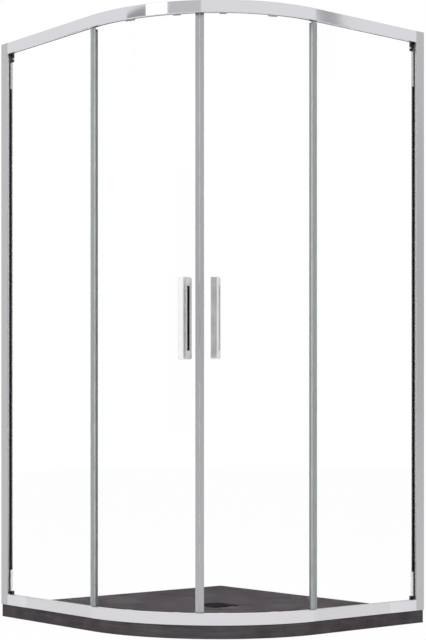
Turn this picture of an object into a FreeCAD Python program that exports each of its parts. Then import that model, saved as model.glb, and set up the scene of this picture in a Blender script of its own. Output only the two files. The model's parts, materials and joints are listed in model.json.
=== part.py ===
import FreeCAD, Part
import Sketcher
import math
import os
import re

# Frame of the enclosure: the walls meet at (-half_side, +half_side), the rounded front faces (+X, -Y),
# Z is up from the floor. "Out" means away from the vertical axis through the origin, towards the room.
# Left-hand pieces are drawn on the -Y side and reflected in the diagonal plane for the right-hand side.

sizes = {
    # overall
    "half_side": 500,
    "tray_height": 42,
    "header_top": 1940,
    "tray_inset": 6,
    # tray fall, waste and cover
    "fall_margin": 58,
    "fall_depth": 8,
    "waste_x": -62,
    "waste_y": 88,
    "waste_recess": 114,
    "waste_seat": 5,
    "waste_bore": 90,
    "waste_outlet": 78,
    "flange_gap": 1,
    "flange_thick": 2,
    "cover_side": 102,
    "cover_thick": 3,
    "cover_rise": 0.5,
    "cover_foot": 8,
    # upright posts and wall profiles
    "post_width": 38,
    "post_depth": 24,
    "post_wall": 2,
    "post_cut": 1.5,
    "post_channel": 10,
    "post_lip": 4,
    "cap_thick": 1.5,
    "wall_gap": 0.5,
    "wall_leg": 22,
    "wall_top_gap": 5,
    "wall_hole": 6,
    "wall_hole_low": 220,
    "wall_hole_step": 515,
    # rails
    "rail_depth": 44,
    "rail_skin": 1.8,
    "edge_cut": 1,
    "lip_thick": 2,
    "roof_thick": 2.5,
    "back_lip": 7,
    "header_height": 38,
    "sill_height": 36,
    "groove_out": 7.7,
    "groove_in": 14.3,
    "groove_deep": 12,
    "groove_wall": 2.2,
    "chamber_in": 17.5,
    "ledge_drop": 20.5,
    "ledge_thick": 2.5,
    "ledge_lip_in": 38.5,
    "ledge_lip_rise": 2.5,
    "channel_floor": 3,
    "channel_lip_rise": 17,
    "infill_turn": 1,
    "infill_deep": 5,
    "infill_drop": 0.8,
    # fixed panes and what holds them
    "glass": 6,
    "pane_face": 8,
    "pane_edge": 6,
    "pane_bite": 8,
    "pane_top_gap": 2,
    "gasket_proud": 1.5,
    "strip_low_left": 118,
    "strip_drop_left": 155,
    "strip_low_right": 126,
    "strip_drop_right": 180,
    "block_width": 10,
    "block_rise": 11,
    "pad_drop": 64,
    "pad_tall": 9,
    "pad_gap": 3,
    "seal_gap": 0.5,
    "clip_wall": 1.4,
    "clip_reach": 10,
    "clip_nose": 2,
    "fin_lean": 1,
    "fin_reach": 7,
    "fin_drop": 50,
    # door glass, closing profiles and seals
    "door_face": 26,
    "door_low": 24,
    "door_top_drop": 28,
    "door_tail": 1.2,
    "door_nose": 44.5,
    "closer_width": 11,
    "closer_gap": 2,
    "closer_wall": 1.8,
    "closer_drop": 2,
    "closer_proud": 4.5,
    "closer_behind": 3.5,
    "bond_front": 0.3,
    "bond_back": 0.6,
    "magnet_gap": 0.2,
    "magnet_inset": 0.2,
    "tail_fin_across": 8.5,
    "tail_fin_out": 9,
    "drip_turn": 0.1,
    "drip_wall": 1.2,
    "drip_under": 2.5,
    "drip_over": 7,
    # carriages, wheels, stops and guides
    "tail_carriage": 16.7,
    "nose_carriage": 36.3,
    "clamp_width": 20,
    "clamp_thick": 2,
    "clamp_low_drop": 46.5,
    "clamp_high_drop": 33.5,
    "shoulder_drop": 26,
    "carriage_width": 37,
    "carriage_in": 48,
    "carriage_plate": 4,
    "bar_half": 4.2,
    "wheel_radius": 8,
    "wheel_width": 6,
    "wheel_bore": 2.53,
    "wheel_pitch": 20,
    "wheel_out": 24.5,
    "axle_radius": 2.5,
    "axle_proud": 2,
    "run_gap": 0.3,
    "stop_place": 134,
    "stop_width": 8,
    "stop_tall": 10,
    "guide_width": 24,
    "guide_wall": 3,
    "guide_under": 4,
    "guide_over": 14,
    "guide_tongue": 17.5,
    # handles
    "handle_angle": 40.5,
    "handle_mid": 974,
    "handle_height": 250,
    "handle_thick": 22,
    "handle_reach": 43.5,
    "handle_lean": 30,
    "handle_start": 6,
    "handle_aside": 3.5,
    "handle_gap": 2,
    "handle_bridge": 26,
    "handle_back": 10.5,
    "handle_slot": 16,
    "handle_round": 7.5,
    "lining_wall": 1.2,
    "boss_radius": 7,
    "boss_long": 13,
    "bolt_radius": 3,
    "bolt_hole": 4.5,
    "cap_radius": 7,
    "cap_tall": 5,
    "cap_gap": 0.08,
}

doc = FreeCAD.newDocument("quadrant_enclosure")
sheet = doc.addObject("Spreadsheet::Sheet", "Sizes")
for row, (alias, value) in enumerate(sizes.items(), start=1):
    sheet.set(f"A{row}", alias)
    sheet.set(f"B{row}", str(value))
    sheet.setAlias(f"B{row}", alias)
doc.recompute()

nodes = {}


def bound(expression):
    return re.sub(r"[a-z_]+", lambda m: "Sizes." + m.group() if m.group() in sizes else m.group(), str(expression))


def value_of(expression):
    return float(sheet.evalExpression(bound(expression)))


def new_body(name, turn=None, keep=True):
    body = doc.addObject("PartDesign::Body", name)
    body.Label = name
    if turn is not None:
        body.Placement = FreeCAD.Placement(FreeCAD.Vector(), FreeCAD.Rotation(FreeCAD.Vector(0, 0, 1), 10))
        body.setExpression("Placement.Rotation.Angle", bound(turn))
    if keep:
        nodes[name] = body
    return body


def draw(body, role, shapes, lift="0", rise="0"):
    # shapes: closed outlines as lists of (x, y), or circles as (x, y, radius); all are expressions
    sketch = body.newObject("Sketcher::SketchObject", body.Name + "_outline")
    plane = [feature for feature in body.Origin.OriginFeatures if feature.Role == role][0]
    sketch.AttachmentSupport = [(plane, "")]
    sketch.MapMode = "FlatFace"
    sketch.setExpression("AttachmentOffset.Base.z", bound(lift))
    sketch.setExpression("AttachmentOffset.Base.y", bound(rise))
    for shape in shapes:
        if isinstance(shape, tuple):
            x, y, radius = [value_of(item) for item in shape]
            index = sketch.addGeometry(Part.Circle(FreeCAD.Vector(x, y, 0), FreeCAD.Vector(0, 0, 1), radius), False)
            place(sketch, index, 3, shape[0], shape[1])
            fix = sketch.addConstraint(Sketcher.Constraint("Radius", index, radius))
            sketch.setExpression(f"Constraints[{fix}]", bound(shape[2]))
            continue
        corners = [FreeCAD.Vector(value_of(x), value_of(y), 0) for x, y in shape]
        first = sketch.GeometryCount
        count = len(corners)
        for index, corner in enumerate(corners):
            line = Part.LineSegment(corner, corners[(index + 1) % count])
            sketch.addGeometry(line, False)
        for index in range(count):
            nxt = first + (index + 1) % count
            sketch.addConstraint(Sketcher.Constraint("Coincident", first + index, 2, nxt, 1))
        for index, (x, y) in enumerate(shape):
            place(sketch, first + index, 1, x, y)
    return sketch


def place(sketch, index, vertex, x, y):
    for kind, expression in (("DistanceX", x), ("DistanceY", y)):
        constraint = Sketcher.Constraint(kind, -1, 1, index, vertex, value_of(expression))
        fix = sketch.addConstraint(constraint)
        sketch.setExpression(f"Constraints[{fix}]", bound(expression))


def extrude(body, role, shapes, start, end, cut=False):
    # from start to end along the plane's normal: XY gives +Z, XZ gives outwards (-Y), YZ gives +X
    sketch = draw(body, role, shapes, lift=start)
    kind = "PartDesign::Pocket" if cut else "PartDesign::Pad"
    before = body.Shape.Volume if cut else 0
    feature = body.newObject(kind, body.Name + ("_cut" if cut else "_pad"))
    feature.Profile = sketch
    feature.setExpression("Length", bound(f"abs(({end}) - ({start}))"))
    feature.Reversed = cut
    body.Tip = feature
    doc.recompute()
    if cut and not body.Shape.Volume < before - 0.5:
        raise ValueError("nothing was cut from " + body.Name)
    return feature


def spin(body, shapes, angle):
    # section drawn as (-distance from the upright axis, height), turned from the -Y direction towards +X
    sketch = draw(body, "YZ_Plane", shapes)
    feature = body.newObject("PartDesign::Revolution", body.Name + "_bend")
    feature.Profile = sketch
    feature.ReferenceAxis = (sketch, ["V_Axis"])
    feature.setExpression("Angle", bound(angle))
    body.Tip = feature
    doc.recompute()
    return feature


def box(x_low, x_high, y_low, y_high):
    return [(x_low, y_low), (x_high, y_low), (x_high, y_high), (x_low, y_high)]


def boolean(kind, name, base, tool):
    result = doc.addObject("Part::" + kind, name)
    result.Label = name
    result.Base = base
    result.Tool = tool
    result.Refine = True
    nodes[name] = result
    doc.recompute()
    return result


def gather(name, pieces):
    group = doc.addObject("Part::Compound", name)
    group.Label = name
    group.Links = pieces
    nodes[name] = group
    doc.recompute()
    return group


def reflect(source, name, keep=True):
    twin = doc.addObject("Part::Mirroring", name)
    twin.Label = name
    twin.Source = source
    twin.Base = (0, 0, 0)
    twin.Normal = (1, 1, 0)
    if keep:
        nodes[name] = twin
    doc.recompute()
    return twin


def round_edges(body, radius, wanted):
    names = [f"Edge{i}" for i, edge in enumerate(body.Shape.Edges, start=1) if wanted(edge)]
    last = body.Tip
    feature = body.newObject("PartDesign::Fillet", body.Name + "_round")
    feature.Base = (last, names)
    feature.Radius = radius
    body.Tip = feature
    doc.recompute()
    if not names or feature.Shape.isNull():
        raise ValueError("no edge rounded on " + body.Name)
    return feature


# tray, waste and cover
reach = "(half_side - tray_inset)"
tray = new_body("tray_slab", keep=False)
square_part = [("-half_side", "half_side"), ("-half_side", f"-{reach}"), ("0", f"-{reach}"),
               ("0", "0"), (reach, "0"), (reach, "half_side")]
extrude(tray, "XY_Plane", [square_part], "0", "tray_height")
spin(tray, [box(f"-{reach}", "0", "0", "tray_height")], "90")

floor_low = "(tray_height - fall_depth)"
seat = f"({floor_low} - waste_seat)"


def waste_square(side):
    return box(f"waste_x - ({side}) / 2", f"waste_x + ({side}) / 2", f"waste_y - ({side}) / 2", f"waste_y + ({side}) / 2")


extrude(tray, "XY_Plane", [waste_square("waste_recess")], seat, "tray_height", cut=True)
extrude(tray, "XY_Plane", [("waste_x", "waste_y", "waste_bore / 2")], "0", "tray_height", cut=True)

# the floor falls to the waste along planes that all point at its centre
edge = "(half_side - fall_margin)"
rim = [(f"-{edge}", edge), (f"-{edge}", f"-{edge}")]
rim += [(f"{edge} * sin({angle})", f"-{edge} * cos({angle})") for angle in range(0, 91, 15)]
rim += [(edge, edge)]
near = "(waste_recess / half_side)"
foot = [(f"waste_x + ({x} - waste_x) * {near}", f"waste_y + ({y} - waste_y) * {near}") for x, y in rim]


def points_at(outline, height):
    return [FreeCAD.Vector(value_of(x), value_of(y), value_of(height)) for x, y in outline]


def flat_face(points):
    return Part.Face(Part.makePolygon(points + points[:1]))


upper, lower = points_at(rim, "tray_height"), points_at(foot, floor_low)
slopes = [flat_face([upper[i - 1], upper[i], lower[i], lower[i - 1]]) for i in range(len(rim))]
fall = doc.addObject("Part::Feature", "tray_fall")
fall.Shape = Part.Solid(Part.Shell(slopes + [flat_face(upper), flat_face(lower)]))
boolean("Cut", "shower_tray", tray, fall)

flange = new_body("waste_flange")
outlet = ("waste_x", "waste_y", "waste_outlet / 2")
extrude(flange, "XY_Plane", [waste_square("waste_recess - 2 * flange_gap"), outlet], seat, f"{seat} + flange_thick")

cover = new_body("drain_cover")
cover_low = f"({floor_low} + cover_rise)"
extrude(cover, "XY_Plane", [waste_square("cover_side")], cover_low, f"{cover_low} + cover_thick")
near_side, far_side = "(cover_side / 2 - cover_foot)", "(cover_side / 2)"
spans = {"-": (f"- {far_side}", f"- {near_side}"), "+": (f"+ {near_side}", f"+ {far_side}")}
feet = [box("waste_x" + spans[sx][0], "waste_x" + spans[sx][1], "waste_y" + spans[sy][0], "waste_y" + spans[sy][1])
        for sx in spans for sy in spans]
extrude(cover, "XY_Plane", feet, f"{seat} + flange_thick", cover_low)


# upright posts: sections as (across from the wall, back from the front face)
def at_wall(outline):
    return [(f"{across} - half_side", f"{back} - half_side") for across, back in outline]


web = "(wall_leg + post_wall)"
mouth = "(post_width - post_channel)"
post_outline = at_wall([
    ("0", "post_cut"), ("post_cut", "0"), ("post_width - post_cut", "0"), ("post_width", "post_cut"),
    ("post_width", "groove_out"), (mouth, "groove_out"), (mouth, "post_depth - post_lip"),
    ("post_width", "post_depth - post_lip"), ("post_width", "post_depth"), ("0", "post_depth"),
    ("0", "post_depth - post_wall"), (web, "post_depth - post_wall"), (web, "post_wall"), ("0", "post_wall")])
lip_void = at_wall(box(f"{web} + post_wall", "post_width - post_wall", "post_wall", "groove_out - post_wall"))
post = new_body("frame_post_left")
extrude(post, "XY_Plane", [post_outline, lip_void], "tray_height", "header_top - cap_thick")

leg_out, leg_in = "(post_wall + wall_gap)", "(2 * post_wall + wall_gap)"
profile_outline = at_wall([
    ("0", leg_out), ("wall_leg", leg_out), ("wall_leg", leg_in), ("post_wall", leg_in),
    ("post_wall", f"post_depth - {leg_in}"), ("wall_leg", f"post_depth - {leg_in}"),
    ("wall_leg", f"post_depth - {leg_out}"), ("0", f"post_depth - {leg_out}")])
wall_profile = new_body("wall_profile_left")
extrude(wall_profile, "XY_Plane", [profile_outline], "tray_height", "header_top - cap_thick - wall_top_gap")
wall_holes = [("post_depth / 2 - half_side", f"wall_hole_low + {n} * wall_hole_step", "wall_hole / 2") for n in range(4)]
extrude(wall_profile, "YZ_Plane", wall_holes, "-half_side", "post_wall + 1 - half_side", cut=True)

post_cap = new_body("post_cap_left", keep=False)
cap_outline = at_wall([("0", "post_cut"), ("post_cut", "0"), ("post_width - post_cut", "0"), ("post_width", "post_cut"),
                       ("post_width", "post_depth"), ("0", "post_depth")])
extrude(post_cap, "XY_Plane", [cap_outline], "header_top - cap_thick", "header_top")
gather("post_caps", [post_cap, reflect(post_cap, "post_cap_right", keep=False)])


# rails: sections as (in from the outer face, height), straight and then bent to the middle of the corner
def along_front(outline):
    return [(f"{depth} - half_side", height) for depth, height in outline]


def rail(name, outlines):
    half = new_body(name + "_half", keep=False)
    along = [along_front(outline) for outline in outlines]
    extrude(half, "YZ_Plane", along, "post_width - half_side", "0")
    spin(half, along, "45")
    boolean("Fuse", name, half, reflect(half, name + "_twin", keep=False))


header_low = "(header_top - header_height)"
roof = "(header_top - roof_thick)"
ledge = "(header_top - ledge_drop)"
ledge_low = f"({ledge} - ledge_thick)"
groove_roof = f"({header_low} + groove_deep + 1)"
wall_in = "(groove_in + groove_wall)"
header_outline = [
    ("edge_cut", header_low), ("0", f"{header_low} + edge_cut"), ("0", "header_top - edge_cut"), ("edge_cut", "header_top"),
    ("rail_depth", "header_top"), ("rail_depth", "header_top - back_lip"), ("rail_depth - lip_thick", "header_top - back_lip"),
    ("rail_depth - lip_thick", roof), ("chamber_in", roof), ("chamber_in", ledge),
    ("ledge_lip_in - lip_thick", ledge), ("ledge_lip_in - lip_thick", f"{ledge} + ledge_lip_rise"),
    ("ledge_lip_in", f"{ledge} + ledge_lip_rise"), ("ledge_lip_in", ledge_low), (wall_in, ledge_low),
    (wall_in, header_low), ("groove_in", header_low), ("groove_in", groove_roof),
    ("groove_out", groove_roof), ("groove_out", header_low)]
header_void = box("rail_skin", "chamber_in - rail_skin", f"{groove_roof} + groove_wall", roof)
rail("header_rail", [header_outline, header_void])

sill_top = "(tray_height + sill_height)"
groove_floor = f"({sill_top} - groove_deep)"
channel_floor_z = "(tray_height + channel_floor)"
channel_lip_z = "(tray_height + channel_lip_rise)"
sill_outline = [
    ("0", "tray_height"), ("0", f"{sill_top} - edge_cut"), ("edge_cut", sill_top), ("groove_out", sill_top),
    ("groove_out", groove_floor), ("groove_in", groove_floor), ("groove_in", sill_top), ("chamber_in", sill_top),
    ("chamber_in", channel_floor_z), ("rail_depth - lip_thick", channel_floor_z),
    ("rail_depth - lip_thick", channel_lip_z), ("rail_depth", channel_lip_z), ("rail_depth", "tray_height")]
sill_void = box("rail_skin", "chamber_in - rail_skin", "tray_height + rail_skin", f"{groove_floor} - groove_wall")
rail("bottom_rail", [sill_outline, sill_void])

infill = new_body("groove_infill", turn="infill_turn")
infill_section = along_front(box("groove_out", "groove_in", f"{sill_top} - infill_deep", f"{sill_top} - infill_drop"))
spin(infill, [infill_section], "90 - 2 * infill_turn")

# fixed panes with the gaskets, end blocks and edge seals that hold and finish them
pane = new_body("fixed_pane_left")
pane_plan = box("post_width - pane_bite - half_side", "pane_edge", "pane_face - half_side", "pane_face + glass - half_side")
extrude(pane, "XY_Plane", [pane_plan], groove_floor, f"{groove_roof} - pane_top_gap")

pane_back = "(pane_face + glass)"
strip = at_wall(box("post_width - pane_bite", "post_width + gasket_proud", pane_back, "post_depth - post_lip"))
block_low, block_high = f"({sill_top} + block_rise)", "(header_top - pad_drop)"
strip_ends = {"left": ("tray_height + strip_low_left", "header_top - strip_drop_left"),
              "right": ("tray_height + strip_low_right", "header_top - strip_drop_right")}
end_blocks = []
for side, (strip_low, strip_high) in strip_ends.items():
    for title, low, high in (("pane_gasket_", strip_low, strip_high), ("end_block_low_", block_low, strip_low),
                             ("end_block_high_", strip_high, block_high)):
        drawn = new_body(title + (side if side == "left" else "drawn"), keep=False)
        extrude(drawn, "XY_Plane", [strip], low, high)
        piece = drawn if side == "left" else reflect(drawn, title + side, keep=False)
        if title == "pane_gasket_":
            nodes[title + side] = piece
        else:
            end_blocks.append(piece)
gather("pane_end_blocks", end_blocks)

seal_face, seal_back = "(pane_face - half_side)", f"({pane_back} - half_side)"
clip_end, clip_front = "(pane_edge - clip_reach)", "(pane_edge + clip_nose)"
edge_seal = new_body("pane_edge_seal_left")
clip_outline = [
    (clip_end, f"{seal_face} - clip_wall"), (clip_front, f"{seal_face} - clip_wall"), (clip_front, f"{seal_back} + clip_wall"),
    (clip_end, f"{seal_back} + clip_wall"), (clip_end, seal_back), ("pane_edge", seal_back),
    ("pane_edge", seal_face), (clip_end, seal_face)]
extrude(edge_seal, "XY_Plane", [clip_outline], f"{sill_top} + seal_gap", f"{header_low} - seal_gap")
fin_outline = [
    (clip_front, f"{seal_back} + clip_wall"), ("pane_edge - fin_lean", f"{seal_back} + fin_reach"),
    ("pane_edge - fin_lean - clip_wall", f"{seal_back} + fin_reach"), ("pane_edge", f"{seal_back} + clip_wall")]
extrude(edge_seal, "XY_Plane", [fin_outline], f"{sill_top} + seal_gap", "header_top - fin_drop")

# corner blocks close the ends of the header ledge and of the bottom channel
corners = []
block_outlines = {
    "corner_block_low": [("chamber_in", channel_floor_z), ("post_depth", channel_floor_z), ("post_depth", block_low),
                         (pane_back, block_low), (pane_back, sill_top), ("chamber_in", sill_top)],
    "corner_block_high": [(pane_back, f"{block_high} + pad_tall + pad_gap"), ("post_depth", f"{block_high} + pad_tall + pad_gap"),
                          ("post_depth", ledge_low), ("chamber_in", ledge_low), ("chamber_in", header_low),
                          (pane_back, header_low)],
    "corner_pad": box(pane_back, "post_depth", block_high, f"{block_high} + pad_tall")}
for name, outline in block_outlines.items():
    block = new_body(name, keep=False)
    extrude(block, "YZ_Plane", [along_front(outline)], "post_width - half_side", "post_width + block_width - half_side")
    corners += [block, reflect(block, name + "_right", keep=False)]
gather("corner_blocks", corners)

stop = new_body("door_stop_left", keep=False)
stop_plan = box("-stop_place - stop_width", "-stop_place", "chamber_in - half_side", "ledge_lip_in - lip_thick - half_side")
extrude(stop, "XY_Plane", [stop_plan], ledge, f"{ledge} + stop_tall")
gather("door_stops", [stop, reflect(stop, "door_stop_right", keep=False)])

# left door, drawn facing -Y and turned about the upright axis to its place on the bend
door_in, door_out = "(half_side - door_face - glass)", "(half_side - door_face)"
door_low_z, door_top_z = "(tray_height + door_low)", "(header_top - door_top_drop)"
degrees = "57.29578"


def bend(name, outline, width, turn, keep=True):
    # a piece of the same curve as the door, centred on the direction turn
    half = f"({width}) / {door_out} * {degrees} / 2"
    body = new_body(name, turn=f"{turn} - {half}", keep=keep)
    spin(body, [outline], f"2 * {half}")
    return body


blank = new_body("door_blank", turn="-door_tail", keep=False)
spin(blank, [box(f"-{door_out}", f"-{door_in}", door_low_z, door_top_z)], "door_nose + door_tail")
bolt_rise = "(handle_height / 2 - handle_bridge / 2)"
bolt_z = [f"handle_mid {sign} {bolt_rise}" for sign in "-+"]
drill = new_body("drill_handle", turn="handle_angle", keep=False)
extrude(drill, "XZ_Plane", [("0", z, "bolt_hole") for z in bolt_z], f"{door_in} - glass", f"{door_out} + glass")
boolean("Cut", "door_glass_left", blank, drill)

closer = new_body("closing_profile_left", turn="45")
closer_far = "-(closer_gap + closer_width)"
closer_web = "(-closer_gap - closer_wall)"
closer_face, closer_back = f"(-{door_out} - closer_proud)", f"(-{door_in} + closer_behind)"
closer_outline = [
    (closer_far, closer_face), ("-closer_gap", closer_face), ("-closer_gap", closer_back), (closer_far, closer_back),
    (closer_far, f"-{door_in} + bond_back"), (closer_web, f"-{door_in} + bond_back"),
    (closer_web, f"-{door_out} - bond_front"), (closer_far, f"-{door_out} - bond_front")]
closer_low, closer_high = f"{door_low_z} - closer_drop", f"{door_top_z} - 1"
extrude(closer, "XY_Plane", [closer_outline], closer_low, closer_high)
magnet = new_body("magnet_seal_left", turn="45")
magnet_plan = box("-closer_gap", "-magnet_gap", f"{closer_face} + magnet_inset", f"{closer_back} - magnet_inset")
extrude(magnet, "XY_Plane", [magnet_plan], closer_low, closer_high)

# trailing seal: a clip on the door's rear edge with a slanting fin that reaches towards the fixed pane
tail_seal = new_body("trailing_seal_left")
tail_x = "(-(half_side - door_face) * sin(door_tail))"
tail_front, tail_back = f"(-{door_out} - clip_wall)", f"(-{door_in} + clip_wall)"
tail_outline = [
    ("-1", tail_front), ("-1", f"-{door_out}"), (f"{tail_x} - 0.1", f"-{door_out}"),
    (f"{tail_x} - 0.1", f"-{door_in} + 0.11"), ("-1", f"-{door_in} + 0.11"), ("-1", tail_back),
    (f"{tail_x} - clip_nose", tail_back), (f"{tail_x} - clip_nose", f"-{door_out} - clip_wall / 2"),
    (f"{tail_x} - tail_fin_across - 1", f"-{door_out} - tail_fin_out + 1"),
    (f"{tail_x} - tail_fin_across", f"-{door_out} - tail_fin_out"), (f"{tail_x} - clip_nose + 0.5", tail_front)]
extrude(tail_seal, "XY_Plane", [tail_outline], f"{sill_top} + 2", f"{header_low} - seal_gap - 0.2")

drip = new_body("drip_strip", turn="drip_turn", keep=False)
drip_low, drip_high = f"({door_low_z} - drip_under)", f"({door_low_z} + drip_over)"
drip_outline = [
    (f"-{door_out} - drip_wall", drip_low), (f"-{door_out} - drip_wall", drip_high), (f"-{door_out}", drip_high),
    (f"-{door_out}", door_low_z), (f"-{door_in}", door_low_z), (f"-{door_in}", drip_high),
    (f"-{door_in} + drip_wall", drip_high), (f"-{door_in} + drip_wall", drip_low)]
spin(drip, [drip_outline], f"45 - drip_turn - (closer_gap + closer_width + 0.6) / {door_in} * {degrees}")

jaw_low, jaw_high, tongue_low = (f"({door_low_z} - guide_under)", f"({door_low_z} + guide_over)",
                                 f"({door_low_z} - guide_tongue)")
guide_outline = [
    (f"-{door_out} - guide_wall", jaw_low), (f"-{door_out} - guide_wall", jaw_high), (f"-{door_out}", jaw_high),
    (f"-{door_out}", door_low_z), (f"-{door_in}", door_low_z), (f"-{door_in}", jaw_high),
    (f"-{door_in} + guide_wall", jaw_high), (f"-{door_in} + guide_wall", jaw_low), (f"-{door_in} + 1", jaw_low),
    (f"-{door_in} + 1", tongue_low), (f"-{door_out} - 1", tongue_low), (f"-{door_out} - 1", jaw_low)]
gap_outline = box(f"-{door_out} - glass", f"-{door_in} + glass", f"{drip_low} - 1", f"{drip_high} + 1")
clamp_low, clamp_high = "(header_top - clamp_low_drop)", "(header_top - clamp_high_drop)"
clamp_outline = box(f"-{door_out} - clamp_thick", f"-{door_out}", clamp_low, clamp_high)
guides, gaps, clamps = [], [], []
for end in ("tail", "nose"):
    angle = end + "_carriage"
    guides.append(bend("guide_" + end, guide_outline, "guide_width", angle, keep=False))
    gaps.append(bend("guide_gap_" + end, gap_outline, "guide_width + 1", angle, keep=False))
    clamps.append(bend("clamp_plate_" + end, clamp_outline, "clamp_width", angle, keep=False))
gather("bottom_guides_left", guides)
gap_set = doc.addObject("Part::Compound", "gap_set")
gap_set.Links = gaps
boolean("Cut", "bottom_seal_left", drip, gap_set)
gather("carriage_clamps_left", clamps)

# carriages: a plate behind the header ledge, a foot that grips the glass and a bar that carries two wheel axles
wheel_z = f"({ledge} + run_gap + wheel_radius)"
wheel_face, wheel_back = "(half_side - wheel_out)", "(half_side - wheel_out - wheel_width)"
plate_in, plate_out = "(half_side - carriage_in)", "(half_side - carriage_in + carriage_plate)"
shoulder, plate_top = "(header_top - shoulder_drop)", f"({wheel_z} + bar_half)"
bar_face = f"({wheel_back} - run_gap)"
plate_outline = [
    ("-clamp_width / 2", clamp_low), ("clamp_width / 2", clamp_low), ("clamp_width / 2", shoulder),
    ("carriage_width / 2", shoulder), ("carriage_width / 2", plate_top), ("-carriage_width / 2", plate_top),
    ("-carriage_width / 2", shoulder), ("-clamp_width / 2", shoulder)]
bar = box("-wheel_pitch / 2 - bar_half", "wheel_pitch / 2 + bar_half", f"{wheel_z} - bar_half", plate_top)
foot_section = box(f"-{door_in}", f"-{plate_out} + 1", f"{clamp_low} + 1", f"{door_top_z} - 1")
for end in ("tail", "nose"):
    angle = end + "_carriage"
    carriage = new_body(f"roller_carriage_{end}_left", turn=angle)
    extrude(carriage, "XZ_Plane", [plate_outline], plate_in, plate_out)
    foot_sketch = draw(carriage, "YZ_Plane", [foot_section])
    foot_bend = carriage.newObject("PartDesign::Revolution", "foot_bend")
    foot_bend.Profile = foot_sketch
    foot_bend.ReferenceAxis = (foot_sketch, ["V_Axis"])
    foot_bend.setExpression("Angle", bound(f"(clamp_width - 2) / {door_in} * {degrees}"))
    foot_bend.Midplane = True
    carriage.Tip = foot_bend
    doc.recompute()
    extrude(carriage, "XZ_Plane", [bar], plate_out, bar_face)
    axles = [(f"{sign}wheel_pitch / 2", wheel_z, "axle_radius") for sign in ("-", "")]
    extrude(carriage, "XZ_Plane", axles, bar_face, f"{wheel_face} + axle_proud")
    for sign, letter in (("-", "a"), ("", "b")):
        wheel = new_body(f"wheel_{end}_{letter}_left", turn=angle)
        tyre = box(f"-{wheel_face}", f"-{wheel_back}", "wheel_bore", "wheel_radius")
        section = draw(wheel, "YZ_Plane", [tyre], lift=f"{sign}wheel_pitch / 2", rise=wheel_z)
        round_wheel = wheel.newObject("PartDesign::Revolution", "wheel_round")
        round_wheel.Profile = section
        round_wheel.ReferenceAxis = (section, ["H_Axis"])
        round_wheel.Angle = 360
        wheel.Tip = round_wheel
        doc.recompute()

# handle: a slab leaning away from the meeting edge, pierced by one long finger slot
handle = new_body("handle_left", turn="handle_angle")
handle_foot = f"({door_out} + handle_gap)"


def along_slab(distance, aside):
    return (f"handle_aside - ({distance}) * sin(handle_lean) + ({aside}) * cos(handle_lean)",
            f"-{handle_foot} - ({distance}) * cos(handle_lean) - ({aside}) * sin(handle_lean)")


def slab_box(start, end, half):
    return [along_slab(start, half), along_slab(end, half), along_slab(end, f"-{half}"), along_slab(start, f"-{half}")]


slab_low, slab_high = "handle_mid - handle_height / 2", "handle_mid + handle_height / 2"
slot_start = "handle_start + handle_back"
slot_end = f"{slot_start} + handle_slot"
slab_plan = slab_box("handle_start", "handle_start + handle_reach", "handle_thick / 2")
extrude(handle, "XY_Plane", [slab_plan], slab_low, slab_high)
back_limit = value_of(f"{handle_foot} + handle_thick")


def at_back_corner(corner):
    off_middle = abs(corner.Z - value_of("handle_mid"))
    return off_middle > value_of("handle_height / 2") - 0.01 and math.hypot(corner.X, corner.Y) < back_limit


round_edges(handle, value_of("handle_round"), lambda e: all(at_back_corner(corner) for corner in e.Vertexes))
extrude(handle, "XY_Plane", [slab_box(slot_start, slot_end, "handle_thick")], f"{slab_low} + handle_bridge",
        f"{slab_high} - handle_bridge", cut=True)
extrude(handle, "XZ_Plane", [("0", z, "boss_radius") for z in bolt_z], door_out, f"{door_out} + boss_long")

lining = new_body("slot_lining_left", turn="handle_angle")
extrude(lining, "XY_Plane", [slab_box(slot_start, slot_end, "handle_thick / 2")], f"{slab_low} + handle_bridge",
        f"{slab_high} - handle_bridge")
clear_slot = slab_box(f"{slot_start} + lining_wall", f"{slot_end} - lining_wall", "handle_thick")
extrude(lining, "XY_Plane", [clear_slot], f"{slab_low} + handle_bridge + lining_wall",
        f"{slab_high} - handle_bridge - lining_wall", cut=True)

bolts = []
for name, z in zip(("handle_bolt_low", "handle_bolt_high"), bolt_z):
    bolt = new_body(name, turn="handle_angle", keep=False)
    extrude(bolt, "XZ_Plane", [("0", z, "bolt_radius")], f"{door_in} - cap_tall / 2", door_out)
    extrude(bolt, "XZ_Plane", [("0", z, "cap_radius")], f"{door_in} - cap_tall", f"{door_in} - cap_gap")
    bolts.append(bolt)
gather("handle_fixings_left", bolts)

# right-hand side, reflected from the left
for name in [name for name in nodes if name.endswith("_left") and name[:-5] + "_right" not in nodes]:
    reflect(nodes[name], name[:-5] + "_right")

# checks and export
doc.recompute()
for item in doc.Objects:
    if "Invalid" in item.State or "Error" in item.State:
        raise ValueError("not computed: " + item.Label)
os.makedirs("parts", exist_ok=True)
for name, node in nodes.items():
    shape = node.Shape
    if shape.isNull() or not shape.isValid() or not shape.Solids:
        raise ValueError("no sound shape: " + name)
    shape.exportStep(os.path.join("parts", name + ".step"))
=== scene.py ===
import json
import math

import bmesh
import bpy
from mathutils import Matrix, Vector

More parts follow.
